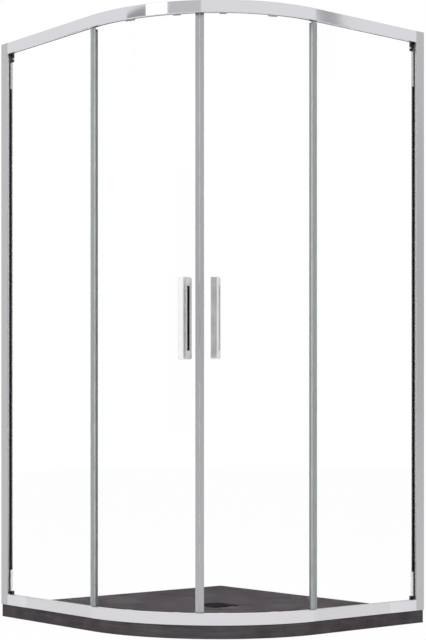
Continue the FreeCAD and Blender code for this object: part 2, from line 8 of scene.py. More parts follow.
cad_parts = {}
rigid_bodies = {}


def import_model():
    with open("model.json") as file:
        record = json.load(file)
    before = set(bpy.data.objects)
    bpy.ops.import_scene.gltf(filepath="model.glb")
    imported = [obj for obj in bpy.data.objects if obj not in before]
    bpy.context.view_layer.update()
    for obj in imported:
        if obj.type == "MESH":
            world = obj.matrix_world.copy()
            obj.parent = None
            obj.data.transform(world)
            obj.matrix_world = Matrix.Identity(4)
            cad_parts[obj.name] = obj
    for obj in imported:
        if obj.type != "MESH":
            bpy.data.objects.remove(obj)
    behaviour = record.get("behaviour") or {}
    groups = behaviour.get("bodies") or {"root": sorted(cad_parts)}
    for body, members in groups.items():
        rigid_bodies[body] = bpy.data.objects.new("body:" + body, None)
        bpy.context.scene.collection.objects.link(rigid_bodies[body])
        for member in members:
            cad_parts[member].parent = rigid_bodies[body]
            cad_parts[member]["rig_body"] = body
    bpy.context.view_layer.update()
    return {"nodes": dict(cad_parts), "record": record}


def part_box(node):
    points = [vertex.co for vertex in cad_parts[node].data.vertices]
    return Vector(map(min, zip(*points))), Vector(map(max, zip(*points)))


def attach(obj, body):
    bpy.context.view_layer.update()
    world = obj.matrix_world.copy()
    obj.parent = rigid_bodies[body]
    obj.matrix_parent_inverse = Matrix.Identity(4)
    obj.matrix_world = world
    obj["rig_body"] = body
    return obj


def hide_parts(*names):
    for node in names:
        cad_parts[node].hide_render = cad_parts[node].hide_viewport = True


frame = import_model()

mm = 0.001
headerLow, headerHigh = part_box("header_rail")
sillLow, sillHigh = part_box("bottom_rail")
glassLow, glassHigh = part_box("door_glass_left")
halfSide = headerHigh.x  # outer face of the rails, and radius of the bend
straight = -headerLow.x  # length of rail from a post to where the bend starts
# takes a piece of the left-hand side to the right-hand side
diagonal = Matrix(((0, -1, 0, 0), (-1, 0, 0, 0), (0, 0, 1, 0), (0, 0, 0, 1)))

# node groups and materials
def groupOf(name, inputs, outputs):
    group = bpy.data.node_groups.new(name, "ShaderNodeTree")
    for title, kind, value in inputs:
        group.interface.new_socket(title, in_out="INPUT", socket_type=kind).default_value = value
    for title, kind in outputs:
        group.interface.new_socket(title, in_out="OUTPUT", socket_type=kind)
    return group, group.nodes.new("NodeGroupInput"), group.nodes.new("NodeGroupOutput")


def makeGrain():
    # noise drawn out along the piece: Stretch says how fine it is along X, Y and Z
    inputs = [("Stretch", "NodeSocketVector", (1, 1, 1)), ("Detail", "NodeSocketFloat", 4.0)]
    group, entry, leave = groupOf("drawnGrain", inputs, [("Value", "NodeSocketFloat")])
    coords = group.nodes.new("ShaderNodeTexCoord")
    scaled = group.nodes.new("ShaderNodeVectorMath")
    scaled.operation = "MULTIPLY"
    noise = group.nodes.new("ShaderNodeTexNoise")
    noise.inputs["Scale"].default_value = 1.0
    noise.inputs["Roughness"].default_value = 0.55
    group.links.new(coords.outputs["Object"], scaled.inputs[0])
    group.links.new(entry.outputs["Stretch"], scaled.inputs[1])
    group.links.new(scaled.outputs[0], noise.inputs["Vector"])
    group.links.new(entry.outputs["Detail"], noise.inputs["Detail"])
    group.links.new(noise.outputs["Fac"], leave.inputs["Value"])
    return group


grain = makeGrain()


def addGrain(tree, stretch, detail=4.0):
    node = tree.nodes.new("ShaderNodeGroup")
    node.node_tree = grain
    node.inputs["Stretch"].default_value = stretch
    node.inputs["Detail"].default_value = detail
    return node.outputs["Value"]


def ramp(tree, value, stops):
    node = tree.nodes.new("ShaderNodeValToRGB")
    first, last = node.color_ramp.elements
    first.position, last.position = stops[0][0], stops[-1][0]
    for position, _ in stops[1:-1]:
        node.color_ramp.elements.new(position)
    for element, (_, shade) in zip(node.color_ramp.elements, stops):
        element.color = (*shade, 1.0)
    tree.links.new(value, node.inputs["Fac"])
    return node.outputs["Color"]


def spread(tree, value, low, high, fromLow=0.3, fromHigh=0.7):
    node = tree.nodes.new("ShaderNodeMapRange")
    node.inputs["From Min"].default_value, node.inputs["From Max"].default_value = fromLow, fromHigh
    node.inputs["To Min"].default_value, node.inputs["To Max"].default_value = low, high
    tree.links.new(value, node.inputs["Value"])
    return node.outputs["Result"]


def bump(tree, value, strength, distance, under=None):
    node = tree.nodes.new("ShaderNodeBump")
    node.inputs["Strength"].default_value = strength
    node.inputs["Distance"].default_value = distance
    tree.links.new(value, node.inputs["Height"])
    if under:
        tree.links.new(under, node.inputs["Normal"])
    return node.outputs["Normal"]


def surface(name, metallic=0.0, roughness=0.5, ior=1.5, specular=0.5):
    material = bpy.data.materials.new(name)
    material.use_nodes = True
    shader = material.node_tree.nodes["Principled BSDF"]
    shader.inputs["Metallic"].default_value = metallic
    shader.inputs["Roughness"].default_value = roughness
    shader.inputs["IOR"].default_value = ior
    shader.inputs["Specular IOR Level"].default_value = specular
    return material, material.node_tree, shader


def drawnMetal(name, shade, roughness, stretch, contrast=0.06):
    # extruded and anodised or polished metal, with die lines along its length
    material, tree, shader = surface(name, metallic=1.0)
    lines = addGrain(tree, stretch, 5.0)
    dark = tuple(c * (1 - contrast) for c in shade)
    light = tuple(min(1.0, c * (1 + contrast)) for c in shade)
    tree.links.new(ramp(tree, lines, [(0.3, dark), (0.7, light)]), shader.inputs["Base Color"])
    tree.links.new(spread(tree, lines, roughness * 0.8, roughness * 1.25), shader.inputs["Roughness"])
    tree.links.new(bump(tree, lines, 0.25, 0.02 * mm), shader.inputs["Normal"])
    return material


def moulded(name, shade, roughness, scale=900.0, depth=0.03, contrast=0.1, specular=0.5):
    # moulded plastic or rubber with a fine even texture
    material, tree, shader = surface(name, specular=specular)
    texture = addGrain(tree, (scale, scale, scale), 3.0)
    cloud = addGrain(tree, (18, 18, 18), 2.0)
    dark = tuple(c * (1 - contrast) for c in shade)
    light = tuple(min(1.0, c * (1 + contrast)) for c in shade)
    tree.links.new(ramp(tree, cloud, [(0.3, dark), (0.7, light)]), shader.inputs["Base Color"])
    tree.links.new(spread(tree, texture, roughness * 0.85, roughness * 1.15), shader.inputs["Roughness"])
    tree.links.new(bump(tree, texture, 0.4, depth * mm), shader.inputs["Normal"])
    return material


def clearGlass():
    # toughened glass; light passes to what is behind it
    material, tree, shader = surface("clearGlass", roughness=0.0, ior=1.15)
    shader.inputs["Transmission Weight"].default_value = 1.0
    haze = addGrain(tree, (3, 3, 1.2), 2.0)
    tint = ramp(tree, haze, [(0.3, (0.994, 0.998, 0.997)), (0.7, (0.998, 1.0, 0.999))])
    tree.links.new(tint, shader.inputs["Base Color"])
    path = tree.nodes.new("ShaderNodeLightPath")
    passing = tree.nodes.new("ShaderNodeBsdfTransparent")
    passing.inputs["Color"].default_value = (0.96, 0.98, 0.975, 1)
    mixed = tree.nodes.new("ShaderNodeMixShader")
    tree.links.new(path.outputs["Is Shadow Ray"], mixed.inputs["Fac"])
    tree.links.new(shader.outputs["BSDF"], mixed.inputs[1])
    tree.links.new(passing.outputs["BSDF"], mixed.inputs[2])
    tree.links.new(mixed.outputs["Shader"], tree.nodes["Material Output"].inputs["Surface"])
    return material


def sealPlastic(name, shade, transmission, roughness):
    # soft clear extrusion that looks grey where it is thick
    material, tree, shader = surface(name, ior=1.42)
    shader.inputs["Transmission Weight"].default_value = transmission
    lines = addGrain(tree, (300, 300, 4), 3.0)
    dark = tuple(c * 0.88 for c in shade)
    tree.links.new(ramp(tree, lines, [(0.3, dark), (0.7, shade)]), shader.inputs["Base Color"])
    tree.links.new(spread(tree, lines, roughness * 0.8, roughness * 1.3), shader.inputs["Roughness"])
    tree.links.new(bump(tree, lines, 0.3, 0.05 * mm), shader.inputs["Normal"])
    return material


def slate():
    # cast tray with a riven stone face, streaked across
    material, tree, shader = surface("slateTray", roughness=0.6, specular=0.0)
    layers = addGrain(tree, (9, 9, 160), 8.0)
    cloud = addGrain(tree, (14, 14, 14), 6.0)
    chips = addGrain(tree, (70, 70, 70), 8.0)
    shades = [(0.25, (0.066, 0.056, 0.061)), (0.5, (0.088, 0.077, 0.083)), (0.75, (0.112, 0.101, 0.107))]
    base = ramp(tree, cloud, shades)
    streak = ramp(tree, layers, [(0.3, (0.55, 0.54, 0.55)), (0.62, (1.0, 1.0, 1.0))])
    mixed = tree.nodes.new("ShaderNodeMix")
    mixed.data_type = "RGBA"
    mixed.blend_type = "MULTIPLY"
    mixed.inputs["Factor"].default_value = 0.55
    tree.links.new(base, mixed.inputs["A"])
    tree.links.new(streak, mixed.inputs["B"])
    tree.links.new(mixed.outputs["Result"], shader.inputs["Base Color"])
    tree.links.new(spread(tree, chips, 0.45, 0.75), shader.inputs["Roughness"])
    riven = bump(tree, cloud, 0.6, 1.6 * mm)
    tree.links.new(bump(tree, chips, 0.5, 0.5 * mm, riven), shader.inputs["Normal"])
    return material


alongZ, alongRail = (900, 900, 3), (6, 6, 900)
materials = {
    "tray_slate": slate(),
    "waste_steel": drawnMetal("wasteSteel", (0.58, 0.57, 0.58), 0.3, (40, 900, 900)),
    "frame_silver": drawnMetal("postSilver", (0.50, 0.50, 0.515), 0.34, alongZ),
    "wall_silver": drawnMetal("wallSilver", (0.46, 0.46, 0.47), 0.4, alongZ),
    "cap_silver": moulded("capSilver", (0.62, 0.62, 0.64), 0.3),
    "rail_silver": drawnMetal("railSilver", (0.68, 0.67, 0.70), 0.06, alongRail, 0.02),
    "infill_grey": moulded("infillGrey", (0.62, 0.61, 0.66), 0.35),
    "clear_glass": clearGlass(),
    "gasket_black": moulded("gasketBlack", (0.008, 0.0065, 0.008), 0.6, depth=0.05, specular=0.15),
    "block_dark": moulded("blockDark", (0.012, 0.011, 0.013), 0.55, specular=0.2),
    "seal_grey": sealPlastic("sealGrey", (0.47, 0.52, 0.52), 0.35, 0.3),
    "closer_silver": drawnMetal("closerSilver", (0.44, 0.43, 0.45), 0.22, alongZ),
    "magnet_grey": moulded("magnetGrey", (0.56, 0.56, 0.58), 0.4),
    "handle_chrome": drawnMetal("handleChrome", (0.90, 0.89, 0.91), 0.2, (25, 25, 25), 0.02),
    "carriage_grey": moulded("carriageGrey", (0.34, 0.34, 0.355), 0.4),
    "clamp_grey": moulded("clampGrey", (0.36, 0.36, 0.37), 0.35),
    "guide_plastic": moulded("guidePlastic", (0.42, 0.42, 0.43), 0.4),
    "wheel_nylon": moulded("wheelNylon", (0.75, 0.75, 0.72), 0.42),
    "drain_black": moulded("drainBlack", (0.017, 0.014, 0.016), 0.5, 500, depth=0.06, specular=0.0),
}
slotOf = {part["node"]: part["material_slot"] for part in frame["record"]["subparts"]}
print("materials ready")


# mesh helpers
# turns between two faces, in degrees, from which their edge counts as sharp
sharpFrom = {"shading": 32, "softening": 35, "handle": 60, "packed": 38}
turnedSteps = {"small": 24, "usual": 40, "bore": 64}


def soften(bm, width, segments=2, sharp=sharpFrom["softening"], wanted=None):
    sharp = math.radians(sharp)
    edges = [e for e in bm.edges if len(e.link_faces) == 2 and e.calc_face_angle(0) > sharp]
    if wanted:
        edges = [e for e in edges if wanted((e.verts[0].co + e.verts[1].co) / 2)]
    bmesh.ops.bevel(bm, geom=edges, offset=width, offset_type="OFFSET", segments=segments, profile=0.5,
                    affect="EDGES", clamp_overlap=not wanted, material=-1)


def place(name, bm, nodes, side="left", extra=None):
    # the piece stands for the named CAD nodes, or is extra to them and has its own material slot
    if side == "right":
        bmesh.ops.transform(bm, matrix=diagonal, verts=bm.verts)
    bmesh.ops.recalc_face_normals(bm, faces=bm.faces)
    mesh = bpy.data.meshes.new(name)
    bm.to_mesh(mesh)
    bm.free()
    mesh.shade_smooth()
    mesh.set_sharp_from_angle(angle=math.radians(sharpFrom["shading"]))
    piece = bpy.data.objects.new(name, mesh)
    bpy.context.scene.collection.objects.link(piece)
    even = piece.modifiers.new("evenShading", "WEIGHTED_NORMAL")
    even.keep_sharp = True
    slotName = extra or slotOf[nodes[0]]
    mesh.materials.append(materials[slotName])
    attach(piece, frame["nodes"][nodes[0]]["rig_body"])
    if not extra:
        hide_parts(*nodes)
    return piece


def outlineFace(bm, points):
    return bm.faces.new([bm.verts.new(point) for point in points])


def pushOut(bm, faces, offset):
    grown = bmesh.ops.extrude_face_region(bm, geom=faces)["geom"]
    bmesh.ops.translate(bm, vec=offset, verts=[g for g in grown if isinstance(g, bmesh.types.BMVert)])
    return [g for g in grown if isinstance(g, bmesh.types.BMFace)]


def swing(bm, faces, degrees, steps):
    turned = bmesh.ops.spin(bm, geom=faces, cent=(0, 0, 0), axis=(0, 0, 1), angle=math.radians(degrees),
                            steps=steps, use_merge=False, use_duplicate=False)
    return [g for g in turned["geom_last"] if isinstance(g, bmesh.types.BMFace)]


def arcPiece(section, fromAngle, toAngle, steps):
    # section given as (distance from the upright axis, height); angles run from -Y towards +X
    bm = bmesh.new()
    face = outlineFace(bm, [(0, -radius, height) for radius, height in section])
    swing(bm, [face], toAngle - fromAngle, steps)
    first = Matrix.Rotation(math.radians(fromAngle), 3, "Z")
    bmesh.ops.rotate(bm, cent=(0, 0, 0), matrix=first, verts=bm.verts)
    return bm


def lathe(section, centre, axis, steps=turnedSteps["usual"]):
    # section given as (distance along the axis, radius)
    bm = bmesh.new()
    face = outlineFace(bm, [(0, radius, along) for along, radius in section])
    bmesh.ops.spin(bm, geom=[face], cent=(0, 0, 0), axis=(0, 0, 1), angle=math.tau, steps=steps,
                   use_merge=True, use_duplicate=False)
    bmesh.ops.remove_doubles(bm, verts=bm.verts, dist=0.001 * mm)
    turn = Vector(axis).to_track_quat("Z", "Y").to_matrix().to_4x4()
    bmesh.ops.transform(bm, matrix=Matrix.Translation(centre) @ turn, verts=bm.verts)
    return bm


# rails; depths run in from the outer face
rails = {"bendSteps": 56, "edgeRadius": 0.7 * mm, "chamfer": 1.2 * mm, "skinDepth": 44 * mm,
         "chamber": 17.5 * mm, "lipThick": 2 * mm, "backLip": 7 * mm, "roofThick": 2.5 * mm,
         "wallIn": 16.5 * mm, "ledgeDrop": 20.5 * mm, "ledgeThick": 2.5 * mm, "ledgeRise": 2.5 * mm,
         "ledgeFace": 36.5 * mm, "ledgeEdge": 38.5 * mm, "grooveOut": 7.7 * mm, "grooveIn": 14.3 * mm,
         "grooveDeep": 12 * mm, "channelFloor": 3 * mm, "channelLip": 17 * mm}


def railPiece(name, section, node):
    bm = bmesh.new()
    face = outlineFace(bm, [(-straight, depth - halfSide, height) for depth, height in section])
    ends = pushOut(bm, [face], (straight, 0, 0))
    ends = swing(bm, ends, 90, rails["bendSteps"])
    pushOut(bm, ends, (0, straight, 0))
    soften(bm, rails["edgeRadius"])
    return place(name, bm, [node])


skin, chamber, chamfer = rails["skinDepth"], rails["chamber"], rails["chamfer"]
lipFace, wallIn = skin - rails["lipThick"], rails["wallIn"]
grooveIn, grooveOut = rails["grooveIn"], rails["grooveOut"]
ledgeFace, ledgeEdge = rails["ledgeFace"], rails["ledgeEdge"]
top, low = headerHigh.z, headerLow.z
roof, lipLow, grooveRoof = top - rails["roofThick"], top - rails["backLip"], low + rails["grooveDeep"]
ledge = top - rails["ledgeDrop"]
ledgeTop, ledgeLow = ledge + rails["ledgeRise"], ledge - rails["ledgeThick"]
railPiece("headerRail", [
    (chamfer, low), (0, low + chamfer), (0, top - chamfer), (chamfer, top), (skin, top), (skin, lipLow),
    (lipFace, lipLow), (lipFace, roof), (chamber, roof), (chamber, ledge), (ledgeFace, ledge),
    (ledgeFace, ledgeTop), (ledgeEdge, ledgeTop), (ledgeEdge, ledgeLow), (wallIn, ledgeLow),
    (wallIn, low), (grooveIn, low), (grooveIn, grooveRoof), (grooveOut, grooveRoof),
    (grooveOut, low)], "header_rail")
top, low = sillHigh.z, sillLow.z
grooveFloor = top - rails["grooveDeep"]
floorTop, lipTop = low + rails["channelFloor"], low + rails["channelLip"]
railPiece("bottomRail", [
    (0, low), (0, top - chamfer), (chamfer, top), (grooveOut, top), (grooveOut, grooveFloor),
    (grooveIn, grooveFloor), (grooveIn, top), (chamber, top), (chamber, floorTop), (lipFace, floorTop),
    (lipFace, lipTop), (skin, lipTop), (skin, low)], "bottom_rail")
print("rails ready")

# doors; tail, nose, carriages and the seals' ends are places on the bend, in degrees
door = {"bendSteps": 44, "tail": -1.2, "nose": 44.5, "arris": 0.6 * mm, "inner": 468 * mm,
        "outer": 474 * mm, "carriages": (16.7, 36.3), "sealStart": 0.1, "sealEnd": 43.35}


def span(centre, width):
    half = math.degrees(width / door["outer"]) / 2
    return centre - half, centre + half


def rectangle(inner, outer, low, high):
    return [(inner, low), (outer, low), (outer, high), (inner, high)]


def join(parts):
    whole = bmesh.new()
    for part in parts:
        mesh = bpy.data.meshes.new("part")
        part.to_mesh(mesh)
        part.free()
        whole.from_mesh(mesh)
        bpy.data.meshes.remove(mesh)
    return whole


def facing(degrees):
    return Vector((math.sin(math.radians(degrees)), -math.cos(math.radians(degrees)), 0))


def screwHead(seat, axis, radius, tall):
    # domed head with a socket, standing up from its seat along the axis
    return lathe([(0, 0), (0, radius), (0.4 * tall, radius), (0.85 * tall, 0.8 * radius),
                  (tall, 0.55 * radius), (tall, 0.42 * radius), (0.4 * tall, 0.38 * radius),
                  (0.4 * tall, 0)], seat, axis, turnedSteps["small"])


def glassDoor(side):
    section = rectangle(door["inner"], door["outer"], glassLow.z, glassHigh.z)
    bm = arcPiece(section, door["tail"], door["nose"], door["bendSteps"])
    soften(bm, door["arris"])
    place(side + "DoorGlass", bm, ["door_glass_" + side], side)


drip = {"wall": 1.2 * mm, "rise": 7 * mm, "base": 2.5 * mm, "finRoot": (2 * mm, 3.8 * mm),
        "finTip": (2.4 * mm, 3.4 * mm), "finDrop": 5.5 * mm, "break": 25 * mm, "steps": 14}


def dripSeal(side):
    inner, outer, low = door["inner"], door["outer"], glassLow.z
    base, rise, tip, wall = low - drip["base"], low + drip["rise"], low - drip["finDrop"], drip["wall"]
    root, narrow = drip["finRoot"], drip["finTip"]
    section = [(outer + wall, base), (outer + wall, rise), (outer, rise), (outer, low), (inner, low),
               (inner, rise), (inner - wall, rise), (inner - wall, base), (inner + root[0], base),
               (inner + narrow[0], tip), (inner + narrow[1], tip), (inner + root[1], base)]
    stops = [door["sealStart"]]
    for centre in door["carriages"]:
        stops += span(centre, drip["break"])
    stops.append(door["sealEnd"])
    lengths = [arcPiece(section, start, end, drip["steps"])
               for start, end in zip(stops[::2], stops[1::2])]
    place(side + "DripSeal", join(lengths), ["bottom_seal_" + side], side)


guide = {"wall": 3 * mm, "rise": 11 * mm, "shoulder": 4 * mm, "keel": 1 * mm, "keelDrop": 17.5 * mm,
         "width": 24 * mm, "steps": 8, "edge": 0.6 * mm}


def guides(side):
    inner, outer, low = door["inner"], door["outer"], glassLow.z
    wall, keel, rise = guide["wall"], guide["keel"], low + guide["rise"]
    shoulder, foot = low - guide["shoulder"], low - guide["keelDrop"]
    section = [(outer + wall, shoulder), (outer + wall, rise), (outer, rise), (outer, low), (inner, low),
               (inner, rise), (inner - wall, rise), (inner - wall, shoulder), (inner - keel, shoulder),
               (inner - keel, foot), (outer + keel, foot), (outer + keel, shoulder)]
    clips = [arcPiece(section, *span(centre, guide["width"]), guide["steps"])
             for centre in door["carriages"]]
    for clip in clips:
        soften(clip, guide["edge"])
    place(side + "BottomGuides", join(clips), ["bottom_guides_" + side], side)


# heights of the clamps and carriages are measured from the top of the header
clamp = {"width": 20 * mm, "low": -38.5 * mm, "high": -28.5 * mm, "thick": 2 * mm, "corner": 1.5 * mm,
         "edge": 0.4 * mm, "steps": 10}


def clamps(side):
    low, high = headerHigh.z + clamp["low"], headerHigh.z + clamp["high"]
    section = rectangle(door["outer"], door["outer"] + clamp["thick"], low, high)
    parts = []
    for centre in door["carriages"]:
        plate = arcPiece(section, *span(centre, clamp["width"]), clamp["steps"])
        corners = [e for e in plate.edges if abs(e.calc_length() - clamp["thick"]) < 0.05 * mm
                   and abs(e.verts[0].co.z - e.verts[1].co.z) < 0.01 * mm and e.calc_face_angle(0) > 1]
        bmesh.ops.bevel(plate, geom=corners, offset=clamp["corner"], offset_type="OFFSET", segments=4,
                        profile=0.5, affect="EDGES", clamp_overlap=True, material=-1)
        soften(plate, clamp["edge"])
        parts.append(plate)
    place(side + "CarriageClamps", join(parts), ["carriage_clamps_" + side], side)


carriage = {"plateInner": 452 * mm, "plateOuter": 456 * mm, "barOuter": 469.2 * mm,
            "axleEnd": 477.5 * mm, "width": 37 * mm, "tongue": 20 * mm, "low": -33 * mm,
            "shoulder": -26 * mm, "top": -8 * mm, "axleDrop": -12.2 * mm, "axlePitch": 20 * mm,
            "axleRadius": 2.5 * mm, "barHalf": 4.2 * mm, "footLow": -32.5 * mm, "footHigh": -28.5 * mm,
            "footWidth": 18 * mm, "footSteps": 8, "edge": 0.5 * mm, "headRadius": 5 * mm,
            "headTall": 2.6 * mm, "screwDrop": -20 * mm, "overlap": 1 * mm}


def block(low, high):
    bm = bmesh.new()
    bmesh.ops.create_cube(bm, size=1.0)
    bmesh.ops.scale(bm, vec=Vector(high) - Vector(low), verts=bm.verts)
    bmesh.ops.translate(bm, vec=(Vector(high) + Vector(low)) / 2, verts=bm.verts)
    return bm


def carriages(side):
    wide, narrow, pitch = carriage["width"] / 2, carriage["tongue"] / 2, carriage["axlePitch"] / 2
    inner, outer, overlap = carriage["plateInner"], carriage["plateOuter"], carriage["overlap"]
    reach = pitch + carriage["barHalf"]
    outline = [(-narrow, "low"), (narrow, "low"), (narrow, "shoulder"), (wide, "shoulder"),
               (wide, "top"), (-wide, "top"), (-wide, "shoulder"), (-narrow, "shoulder")]
    for end, centre in zip(("tail", "nose"), door["carriages"]):
        plate = bmesh.new()
        face = outlineFace(plate, [(x, -inner, carriage[height]) for x, height in outline])
        pushOut(plate, [face], (0, inner - outer, 0))
        bar = block((-reach, -carriage["barOuter"], carriage["axleDrop"] - carriage["barHalf"]),
                    (reach, overlap - outer, carriage["top"]))
        section = rectangle(outer - overlap, door["inner"], carriage["footLow"], carriage["footHigh"])
        foot = arcPiece(section, *span(0, carriage["footWidth"]), carriage["footSteps"])
        long = carriage["axleEnd"] - carriage["barOuter"] + overlap
        rod = [(0, 0), (0, carriage["axleRadius"]), (long, carriage["axleRadius"]), (long, 0)]
        axles = [lathe(rod, (x, overlap - carriage["barOuter"], carriage["axleDrop"]), (0, -1, 0),
                       turnedSteps["small"]) for x in (-pitch, pitch)]
        for piece in (plate, bar, foot):
            soften(piece, carriage["edge"])
        head = screwHead((0, -inner, carriage["screwDrop"]), (0, 1, 0), carriage["headRadius"],
                         carriage["headTall"])
        whole = join([plate, bar, foot, head] + axles)
        turn = Matrix.Translation((0, 0, headerHigh.z)) @ Matrix.Rotation(math.radians(centre), 4, "Z")
        bmesh.ops.transform(whole, matrix=turn, verts=whole.verts)
        place(f"{side}{end.title()}Carriage", whole, [f"roller_carriage_{end}_{side}"], side)


wheel = {"radius": 8 * mm, "bore": 2.53 * mm, "hub": 4 * mm, "tyre": 6.4 * mm, "back": 469.5 * mm,
         "width": 6 * mm, "sink": 1.2 * mm, "taper": 0.2 * mm, "corner": 0.7 * mm, "grooveHalf": 1 * mm,
         "grooveDepth": 0.5 * mm, "headGap": 0.3 * mm, "headRadius": 3.6 * mm, "headTall": 1.8 * mm}


def wheels(side):
    radius, corner, groove = wheel["radius"], wheel["corner"], wheel["grooveHalf"]
    half = wheel["width"] / 2
    sunk = -half + wheel["sink"]
    section = [(-half, wheel["bore"]), (-half, wheel["hub"]), (sunk, wheel["hub"] + wheel["taper"]),
               (sunk, wheel["tyre"] - wheel["taper"]), (-half, wheel["tyre"]), (-half, radius - corner),
               (-half + corner, radius), (-groove, radius), (0, radius - wheel["grooveDepth"]),
               (groove, radius)]
    section += [(-along, away) for along, away in reversed(section[:7])]
    heads = []
    for end, centre in zip(("tail", "nose"), door["carriages"]):
        aim = facing(centre)
        ahead = Vector((-aim.y, aim.x, 0))
        for letter, step in (("a", -0.5), ("b", 0.5)):
            middle = aim * (wheel["back"] + half) + ahead * carriage["axlePitch"] * step
            middle.z = headerHigh.z + carriage["axleDrop"]
            place(f"{side}{end.title()}Wheel{letter.upper()}", lathe(section, middle, aim),
                  [f"wheel_{end}_{letter}_{side}"], side)
            seat = middle + aim * (half + wheel["headGap"])
            heads.append(screwHead(seat, aim, wheel["headRadius"], wheel["headTall"]))
    place(side + "AxleHeads", join(heads), ["roller_carriage_tail_" + side], side, extra="waste_steel")


handle = {"middle": 974 * mm, "height": 250 * mm, "reach": 43.5 * mm, "thick": 22 * mm, "back": 7.5 * mm,
          "slot": 16 * mm, "bridge": 26 * mm, "start": 6 * mm, "foot": 476 * mm, "frontRound": 3 * mm,
          "backRound": 7.5 * mm, "slotRound": 0.8 * mm, "edge": 2 * mm, "bossRadius": 7 * mm,
          "bossStart": -2 * mm, "bossEnd": 11 * mm, "liningWall": 1.2 * mm, "collarWall": 0.5 * mm,
          "boltRadius": 3 * mm, "capRadius": 7 * mm, "capTall": 5 * mm, "capEdge": 1 * mm}
# each handle's place on the bend, its lean from straight out (degrees) and its lining's depth
handleStand = {"left": {"angle": 41.15, "lean": 30.0, "aside": 3.5 * mm, "liningSink": 3.5 * mm},
               "right": {"angle": 51.6, "lean": 16.6, "aside": 0, "liningSink": 6 * mm}}


def roundedLoop(bm, x0, x1, z0, z1, radii, steps=8):
    # corner order: low back, low front, high front, high back
    corners = [(x0, z0, 180), (x1, z0, 270), (x1, z1, 0), (x0, z1, 90)]
    points = []
    for (x, z, turn), radius in zip(corners, radii):
        inX, inZ = (1 if x == x0 else -1), (1 if z == z0 else -1)
        for step in range(steps + 1):
            angle = math.radians(turn + 90 * step / steps)
            points.append((x + inX * radius + radius * math.cos(angle),
                           z + inZ * radius + radius * math.sin(angle)))
    verts = [bm.verts.new((0, -x, z)) for x, z in points]
    return [bm.edges.new((verts[i], verts[(i + 1) % len(verts)])) for i in range(len(verts))]


def holedPlate(outer, outerRadii, inner, innerRadius, thick):
    # upright plate with one hole; the outlines are (near, far, low, high)
    bm = bmesh.new()
    edges = roundedLoop(bm, *outer, outerRadii) + roundedLoop(bm, *inner, (innerRadius,) * 4)
    filled = bmesh.ops.triangle_fill(bm, use_beauty=True, use_dissolve=True, edges=edges)
    faces = [g for g in filled["geom"] if isinstance(g, bmesh.types.BMFace)]
    pushOut(bm, faces, (thick, 0, 0))
    bmesh.ops.translate(bm, vec=(-thick / 2, 0, 0), verts=bm.verts)
    return bm


def slotRing(outer, wall, thick):
    inner = (outer[0] + wall, outer[1] - wall, outer[2] + wall, outer[3] - wall)
    return holedPlate(outer, (handle["slotRound"],) * 4, inner, handle["slotRound"], thick)


def doorHandle(side):
    stand = handleStand[side]
    high, slotHigh = handle["height"] / 2, handle["height"] / 2 - handle["bridge"]
    near, slotNear = handle["start"], handle["start"] + handle["back"]
    front, back = handle["frontRound"], handle["backRound"]
    slotBox = (slotNear, slotNear + handle["slot"], -slotHigh, slotHigh)
    slab = holedPlate((near, near + handle["reach"], -high, high), (back, front, front, back),
                      slotBox, handle["slotRound"], handle["thick"])
    soften(slab, handle["edge"], 3, sharpFrom["handle"],
           lambda spot: abs(spot.z) > slotHigh + mm or not slotBox[0] - mm < -spot.y < slotBox[1] + mm)
    lining = slotRing(slotBox, handle["liningWall"], handle["thick"] - 2 * stand["liningSink"])
    collar = slotRing(slotBox, handle["collarWall"], handle["thick"] - handle["collarWall"])
    lean = Matrix.Rotation(math.radians(-stand["lean"]), 4, "Z")
    lean = Matrix.Translation((stand["aside"], -handle["foot"], 0)) @ lean
    for piece in (slab, lining, collar):
        bmesh.ops.transform(piece, matrix=lean, verts=piece.verts)
    start, end, radius = handle["bossStart"], handle["bossEnd"], handle["bossRadius"]
    heights = [sign * (high - handle["bridge"] / 2) for sign in (-1, 1)]
    boss = [(start, 0), (start, radius), (end, radius), (end, 0)]
    bosses = [lathe(boss, (0, -handle["foot"], z), (0, -1, 0)) for z in heights]
    cap, tall, rim = handle["capRadius"], handle["capTall"], handle["capEdge"]
    bolt, pane = handle["boltRadius"], door["inner"] - door["outer"]
    fixing = [(pane, 0), (pane, bolt), (0, bolt), (0, cap), (tall - rim, cap), (tall, cap - rim),
              (tall, 0)]
    fixings = [lathe(fixing, (0, -door["inner"], z), (0, 1, 0)) for z in heights]
    turn = Matrix.Rotation(math.radians(stand["angle"]), 4, "Z")
    turn = Matrix.Translation((0, 0, handle["middle"])) @ turn
    for title, node, whole, extra in (("Handle", "handle_", join([slab] + bosses), None),
                                      ("SlotLining", "slot_lining_", lining, None),
                                      ("SlotCollar", "slot_lining_", collar, "wheel_nylon"),
                                      ("HandleFixings", "handle_fixings_", join(fixings), None)):
        bmesh.ops.transform(whole, matrix=turn, verts=whole.verts)
        place(side + title, whole, [node + side], extra=extra)


for side in ("left", "right"):
    glassDoor(side)
    dripSeal(side)
    guides(side)
    clamps(side)
    carriages(side)
    wheels(side)
    doorHandle(side)

screws = {"across": 14 * mm, "heights": (330 * mm, 990 * mm, 1650 * mm), "blockAcross": 43 * mm,
          "blockHeights": (72 * mm, 1896 * mm), "radius": 4 * mm, "tall": 2.2 * mm}
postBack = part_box("frame_post_left")[1].y
for side in ("left", "right"):
    seats = [(screws["across"], height) for height in screws["heights"]]
    seats += [(screws["blockAcross"], height) for height in screws["blockHeights"]]
    radius, tall = screws["radius"], screws["tall"]
    heads = [screwHead((across - halfSide, postBack, height), (0, 1, 0), radius, tall)
             for across, height in seats]
    place(side + "PostScrews", join(heads), ["frame_post_" + side], side, extra="waste_steel")

